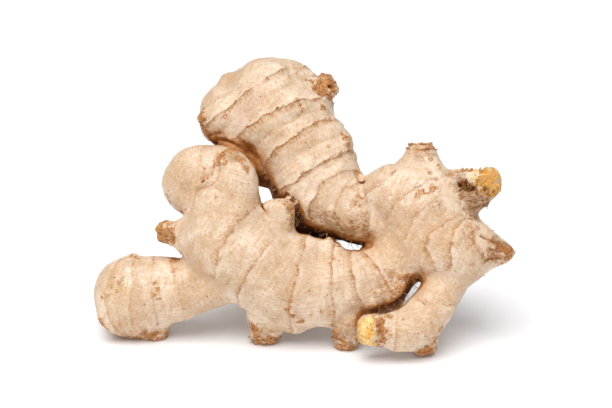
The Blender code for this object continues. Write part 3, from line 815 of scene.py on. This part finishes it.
def build_hairs(coat, front):
    """Root hairs, mostly in the clefts between the fingers."""
    rng = random.Random(HAIR_SEED)
    hand, out, nook = coat["hand"], coat["out"], coat["nook"]
    data = bpy.data.curves.new("root_hairs", "CURVE")
    data.dimensions = "3D"
    data.bevel_depth = HAIR_RADIUS * MM
    data.bevel_resolution = 1
    data.use_fill_caps = True
    weights = smoothstep(0.4, 0.6, nook) * (1 - smoothstep(0.75, 0.9, nook)) + STRAY_HAIRS
    weights = weights * (hand[:, 2] > HAIRS_FROM)
    picks = rng.choices(range(len(hand)), weights=weights.tolist(), k=HAIRS)
    for across, up, spread, count in TUFTS:
        near = norm(hand - front.at(across, up)[0], axis=1) < spread
        picks += rng.choices(np.flatnonzero(near).tolist(), k=count)
    for index in picks:
        point = hand[index] - out[index] * HAIR_ROOT
        heading = unit(out[index] + np.array([rng.uniform(-0.8, 0.8) for _ in range(3)]))
        length = rng.uniform(*HAIR_LENGTHS)
        spline = data.splines.new("POLY")
        spline.points.add(HAIR_STEPS)
        for step, knot in enumerate(spline.points):
            knot.co = (*above_ground(point), 1)
            knot.radius = 1 - 0.7 * step / HAIR_STEPS
            bend = np.array([rng.uniform(-0.5, 0.5) for _ in range(3)]) - np.array((0, 0, 0.15))
            heading = unit(heading + bend)
            point = point + heading * length / HAIR_STEPS
    return add_object("root_hairs", data)


# ---------------------------------------------------------------- materials

IN_MM = (1000.0, 1000.0, 1000.0)


class Shader:
    """A node tree with short calls for the nodes that the materials use."""

    def __init__(self, name):
        self.material = bpy.data.materials.new(name)
        self.material.use_nodes = True
        self.tree = self.material.node_tree
        self.surface = self.tree.nodes["Principled BSDF"]

    def node(self, kind, inputs=None, **settings):
        made = self.tree.nodes.new("ShaderNode" + kind)
        for name, value in settings.items():
            setattr(made, name, value)
        for name, value in (inputs or {}).items():
            self.feed(made.inputs[name], value)
        return made

    def feed(self, socket, value):
        """Links a socket to another, or sets its value."""
        if isinstance(value, bpy.types.NodeSocket):
            self.tree.links.new(value, socket)
        else:
            socket.default_value = value

    def set(self, name, value):
        """Links or sets an input of the surface."""
        self.feed(self.surface.inputs[name], value)

    def place(self):
        """The place on the object, in millimetres."""
        return self.stretched(self.node("TexCoord").outputs["Object"], IN_MM)

    def read(self, name, output="Fac"):
        """A value stored on the mesh's points."""
        return self.node("Attribute", attribute_name=name).outputs[output]

    def math(self, operation, *values):
        made = self.node("Math", operation=operation)
        for socket, value in zip(made.inputs, values):
            self.feed(socket, value)
        return made.outputs[0]

    def times(self, first, second):
        return self.math("MULTIPLY", first, second)

    def noise(self, vector, scale, detail, roughness):
        made = self.node(
            "TexNoise",
            {"Vector": vector, "Scale": scale, "Detail": detail, "Roughness": roughness},
        )
        return made.outputs["Fac"]

    def span(self, value, low, high, out_low=0.0, out_high=1.0):
        """value from low to high, as out_low to out_high, with soft ends."""
        made = self.node(
            "MapRange",
            {"Value": value, "From Min": low, "From Max": high, "To Min": out_low, "To Max": out_high},
            interpolation_type="SMOOTHSTEP",
        )
        return made.outputs["Result"]

    def mix(self, amount, first, second):
        made = self.node("Mix", data_type="RGBA")
        self.feed(made.inputs["Factor"], amount)
        for name, value in (("A", first), ("B", second)):
            socket = next(s for s in made.inputs if s.name == name and s.type == "RGBA")
            self.feed(socket, value)
        return next(s for s in made.outputs if s.type == "RGBA")

    def layered(self, colour, layers):
        """The colour with each layer's tint mixed in by its amount, in turn."""
        for amount, tint in layers:
            colour = self.mix(amount, colour, tint)
        return colour

    def stretched(self, vector, factors):
        made = self.node("VectorMath", {0: vector, 1: factors}, operation="MULTIPLY")
        return made.outputs[0]

    def bump(self, height, distance):
        made = self.node("Bump", {"Height": height, "Distance": distance})
        self.set("Normal", made.outputs[0])


CREAM = (0.645, 0.466, 0.316, 1)
TAN = (0.54, 0.305, 0.135, 1)
PALE = (0.84, 0.69, 0.54, 1)
RING_BROWN = (0.5, 0.195, 0.044, 1)
DASH_BROWN = (0.5, 0.195, 0.042, 1)
# Cork scars, and painted shade in the hollows of crumbled ends.
CORK_AND_SHADE_BROWN = (0.34, 0.105, 0.024, 1)
CORK_PALE = (0.76, 0.385, 0.15, 1)
RUST_BROWN = (0.5, 0.17, 0.035, 1)
SPECK_BROWN = (0.32, 0.12, 0.028, 1)
LEATHER_BROWN = (0.46, 0.19, 0.045, 1)
# Painted shade for the clefts, from light to deep; the deepest also colours earth held in hollows.
WARM_SHADE = (0.6, 0.27, 0.07, 1)
CLEFT_SHADE_BROWN = (0.36, 0.115, 0.014, 1)
EARTH_AND_SHADE_BROWN = (0.125, 0.034, 0.005, 1)
FLESH_YELLOW = (0.88, 0.48, 0.1, 1)
FLESH_PALE = (0.96, 0.74, 0.36, 1)
FLESH_GOLD = (0.84, 0.37, 0.045, 1)
FLESH_ORANGE = (0.62, 0.22, 0.022, 1)
HAIR_BROWN = (0.42, 0.17, 0.04, 1)
HAIR_PALE = (0.72, 0.44, 0.18, 1)
OLIVE_TINT = (0.54, 0.355, 0.12, 1)
BLUSH_TINT = (0.66, 0.42, 0.32, 1)
# Chalky scars, and painted sheen on the left bulb.
CHALK_AND_SHEEN = (0.9, 0.81, 0.7, 1)
FLOOR_GLOW = 0.06


def skin_material():
    """Fibrous skin with frayed rings, marks, broken flesh and painted shade in the clefts."""
    s = Shader("ginger_skin")
    place = s.place()
    grain = s.read("grain", "Vector")
    short_grain = s.stretched(grain, (1, 1, 1.8))
    cross_grain = s.stretched(grain, (0.12, 0.12, 6))
    fleck_grain = s.stretched(grain, (1, 1, 2.8))
    sure = s.read("sure")
    cork, rust, flesh = s.read("cork"), s.read("rust"), s.read("flesh")
    leathery, nook, crumbled = s.read("leathery"), s.read("nook"), s.read("crumbled")
    settled = s.read("settled")

    # Fibres run along the lobe, from ring to ring, and fade where two lobes meet.
    def along_lobe(vector, scale, detail, roughness):
        uneven = s.math("SUBTRACT", s.noise(vector, scale, detail, roughness), 0.5)
        return s.math("ADD", s.times(uneven, settled), 0.5)

    fibre = along_lobe(grain, 1.3, 4, 0.65)
    fine_fibre = along_lobe(grain, 3.6, 3, 0.7)
    dashes = along_lobe(short_grain, 2, 3, 0.6)
    mottle = s.noise(place, 0.085, 4, 0.6)
    blotch = s.noise(place, 0.32, 4, 0.65)
    freckle = s.noise(place, 1.1, 3, 0.7)
    fleck = along_lobe(fleck_grain, 2, 2, 0.6)
    wrinkle = along_lobe(cross_grain, 0.9, 3, 0.6)
    grit = s.noise(place, 1.5, 4, 0.75)

    # Distance past the nearest ring, in millimetres, frayed along the fibres.
    phase, gap = s.read("phase"), s.read("gap")
    fray = s.times(s.math("SUBTRACT", s.noise(short_grain, 1.4, 4, 0.8), 0.5), 2.2)
    off = s.times(s.math("SUBTRACT", phase, s.math("ROUND", phase)), gap)
    off = s.math("ADD", off, fray)
    near = s.math("ABSOLUTE", off)
    patchy = s.times(s.span(s.noise(place, 0.2, 3, 0.65), 0.38, 0.6, 0.5, 1), sure)
    line = s.times(s.span(near, 0, 0.46, 1, 0), patchy)
    # A painted highlight: a pale band just past each ring.
    ring_highlight = s.span(s.math("ABSOLUTE", s.math("SUBTRACT", off, 1.2)), 0, 1.3, 1, 0)
    ring_highlight = s.times(ring_highlight, patchy)
    # The band just before each ring: fibre dashes show there, and it is painted a shade darker.
    below = s.times(s.span(off, -3.2, -0.1), s.span(off, 0, 0.5, 1, 0))
    below = s.times(below, patchy)
    frayed = s.math("MAXIMUM", below, s.times(leathery, 0.9))
    frayed = s.math("MAXIMUM", frayed, s.span(nook, 0.14, 0.36))
    halfway = s.times(s.math("SUBTRACT", s.math("FRACT", phase), 0.5), gap)
    faint = s.span(s.math("ABSOLUTE", s.math("ADD", halfway, fray)), 0, 0.4, 1, 0)
    faint = s.times(faint, s.span(s.noise(place, 0.13, 2, 0.5), 0.46, 0.6))
    faint = s.times(faint, sure)

    shown = s.span(frayed, 0.1, 0.8)
    dash = s.times(s.span(dashes, 0.51, 0.58), shown)
    glint = s.times(s.span(dashes, 0.47, 0.39), shown)
    dark_bits = s.times(line, s.span(freckle, 0.52, 0.62))
    tough = s.times(leathery, s.span(dashes, 0.42, 0.56, 0.25, 1))
    corky = s.mix(s.span(grit, 0.42, 0.56), CORK_AND_SHADE_BROWN, CORK_PALE)
    scab = s.math("ADD", cork, s.span(freckle, 0.36, 0.62, -0.45, 0.35))
    nick = s.times(s.span(rust, 0.15, 0.7), s.span(dashes, 0.4, 0.55, 0.25, 0.9))
    # Brown along the creases: partly the skin's own lines, partly painted shade.
    crease_brown_and_shade = s.times(s.read("crease"), s.span(dashes, 0.35, 0.55, 0.5, 1))
    yellow = s.mix(s.span(blotch, 0.38, 0.6), FLESH_YELLOW, FLESH_PALE)
    yellow = s.layered(yellow, [
        (s.span(crumbled, 0.5, 0.95, 0, 0.6), FLESH_GOLD),
        (s.span(freckle, 0.5, 0.64, 0, 0.9), FLESH_ORANGE),
    ])
    colour = s.mix(s.span(mottle, 0.35, 0.68), CREAM, PALE)
    colour = s.layered(colour, [
        # Painted shade: broad darker patches where the front lies in shade.
        (s.times(s.read("shade_patches"), 0.6), TAN),
        (s.times(s.read("olive"), s.span(blotch, 0.4, 0.62)), OLIVE_TINT),
        (s.times(s.read("blush"), 0.5), BLUSH_TINT),
        (s.span(blotch, 0.5, 0.72, 0, 0.3), TAN),
        (s.span(fibre, 0.45, 0.7, 0, 0.5), TAN),
        (s.span(fine_fibre, 0.48, 0.72, 0, 0.6), PALE),
        (s.span(freckle, 0.58, 0.72, 0, 0.45), TAN),
        (s.span(wrinkle, 0.5, 0.64, 0, 0.4), TAN),
        (s.span(fleck, 0.54, 0.7, 0, 0.4), TAN),
        (s.span(fleck, 0.48, 0.34, 0, 0.45), PALE),
        # Painted shade just before each ring, where the bulge between rings turns from the light.
        (s.times(below, 0.45), TAN),
        # Painted shade: warm brown that deepens towards the clefts.
        (s.span(nook, 0.08, 0.38, 0, 0.8), WARM_SHADE),
        (s.times(dash, 0.9), DASH_BROWN),
        (s.times(glint, 0.55), CREAM),
        (s.span(s.noise(place, 0.62, 2, 0.5), 0.69, 0.75, 0, 0.75), SPECK_BROWN),
        # Painted highlight beside each ring.
        (s.times(ring_highlight, 0.45), PALE),
        (s.times(faint, 0.45), TAN),
        (s.times(line, 0.95), RING_BROWN),
        (s.times(dark_bits, 0.55), SPECK_BROWN),
        (s.times(tough, 0.92), LEATHER_BROWN),
        # Chalky scars, and painted sheen on the left bulb.
        (s.times(s.read("pale"), s.span(grit, 0.45, 0.6)), CHALK_AND_SHEEN),
        (s.span(scab, 0.35, 0.6), corky),
        (nick, RUST_BROWN),
        (s.span(flesh, 0.25, 0.6), yellow),
        # Painted shade in the hollows of the crumbled ends.
        (s.span(s.read("pit"), 0.2, 0.95, 0, 0.85), CORK_AND_SHADE_BROWN),
        # Partly painted shade along the creases.
        (s.span(crease_brown_and_shade, 0.15, 0.9, 0, 0.9), CLEFT_SHADE_BROWN),
        # Painted shade, darker still deep in the clefts.
        (s.times(s.span(nook, 0.2, 0.42), 0.92), CLEFT_SHADE_BROWN),
        (s.span(nook, 0.38, 0.62, 0, 0.97), EARTH_AND_SHADE_BROWN),
        # Earth in the hollows and painted shade in the clefts, where those marks lie.
        (s.span(s.read("earth_and_shade"), 0.2, 0.7, 0, 0.95), EARTH_AND_SHADE_BROWN),
    ])
    s.set("Base Color", colour)

    rough = s.math("ADD", s.span(fibre, 0.3, 0.7, 0.36, 0.5), s.times(cork, 0.3))
    rough = s.math("ADD", rough, s.span(nook, 0.15, 0.5, 0, 0.4))
    s.set("Roughness", rough)
    s.set("Specular IOR Level", 0.3)
    s.set("Subsurface Weight", 0.12)
    s.set("Subsurface Radius", (1, 0.5, 0.2))
    s.set("Subsurface Scale", 1.5 * MM)

    # The bump's parts, each with its height in millimetres.
    rough_parts = s.math("MAXIMUM", cork, s.math("MAXIMUM", crumbled, leathery))
    ledge = s.times(s.span(off, -0.25, 0.25, -0.5, 0.5), s.span(near, 0, 2.4, 1, 0))
    heights = [
        (fibre, 0.1), (fine_fibre, 0.09), (freckle, 0.1), (fleck, 0.1), (wrinkle, 0.14),
        (dash, 0.14), (faint, 0.08), (s.times(ledge, patchy), 0.2), (line, -0.05),
        (s.times(rough_parts, grit), 0.9),
    ]
    total = 0.0
    for height, high in heights:
        total = s.math("ADD", total, s.times(height, high))
    s.bump(total, MM)
    return s.material


def scale_material():
    """Dry, papery scale leaf."""
    s = Shader("dry_scale")
    place = s.place()
    streak = s.noise(place, 1.2, 3, 0.7)
    patch = s.noise(place, 0.25, 2, 0.5)
    colour = s.mix(s.span(patch, 0.4, 0.6), LEATHER_BROWN, CREAM)
    colour = s.mix(s.span(streak, 0.5, 0.65, 0, 0.7), colour, CORK_AND_SHADE_BROWN)
    s.set("Base Color", colour)
    s.set("Roughness", 0.7)
    s.bump(streak, 0.1 * MM)
    return s.material


def hair_material():
    s = Shader("root_hair")
    place = s.place()
    tone = s.noise(place, 0.4, 2, 0.5)
    colour = s.mix(s.span(tone, 0.42, 0.66), HAIR_BROWN, HAIR_PALE)
    s.set("Base Color", colour)
    s.set("Roughness", 0.65)
    return s.material


def floor_material():
    """A pale table that glows a little, which softens the shadow."""
    s = Shader("pale_floor")
    s.set("Base Color", (0.9, 0.91, 0.94, 1))
    s.set("Roughness", 0.55)
    s.set("Emission Strength", FLOOR_GLOW)
    return s.material


# ---------------------------------------------------------------- the studio

FLOOR_SIZE = 6.0
FLOOR_HEIGHT = -0.1 * MM
KEY_SPREAD = math.radians(50)
KEY_ENERGY = 3.0
SKY_STRENGTH = 0.4
LENS = 100
SENSOR_WIDTH = 36


def build_floor():
    bpy.ops.mesh.primitive_plane_add(size=FLOOR_SIZE, location=(0, 0, FLOOR_HEIGHT))
    floor = bpy.context.object
    floor.name = "floor"
    floor.data.materials.append(floor_material())


def aim(obj, target):
    direction = Vector(target) - obj.location
    obj.rotation_mode = "QUATERNION"
    obj.rotation_quaternion = direction.to_track_quat("-Z", "Y")


def build_lights():
    data = bpy.data.lights.new("key", "SUN")
    data.angle = KEY_SPREAD
    data.energy = KEY_ENERGY
    data.color = (1.0, 0.99, 0.975)
    key = add_object("key", data)
    key.location = (-0.14, -0.36, 0.92)
    aim(key, (0, 0, 0.04))
    world = bpy.data.worlds.new("studio")
    world.use_nodes = True
    bpy.context.scene.world = world
    back = world.node_tree.nodes["Background"]
    back.inputs["Color"].default_value = (0.985, 0.99, 1.0, 1)
    back.inputs["Strength"].default_value = SKY_STRENGTH


def build_camera():
    data = bpy.data.cameras.new("camera")
    data.lens = LENS
    data.sensor_width = SENSOR_WIDTH
    data.clip_start = 0.01
    camera = add_object("camera", data)
    camera.location = to_world(EYE)
    aim(camera, to_world((EYE[0], FRONT_DEPTH, EYE[2])))
    bpy.context.scene.camera = camera


skin, coat = build_skin()
skin.data.materials.append(skin_material())
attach(skin, "root")
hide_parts("ginger_root")

scales = build_scales(coat, Front(skin.data))
scales.data.materials.append(scale_material())
hairs = build_hairs(coat, Front(skin.data))
hairs.data.materials.append(hair_material())
for piece in (scales, hairs):
    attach(piece, "root")

build_floor()
build_lights()
build_camera()
bpy.context.scene.view_settings.view_transform = "Standard"
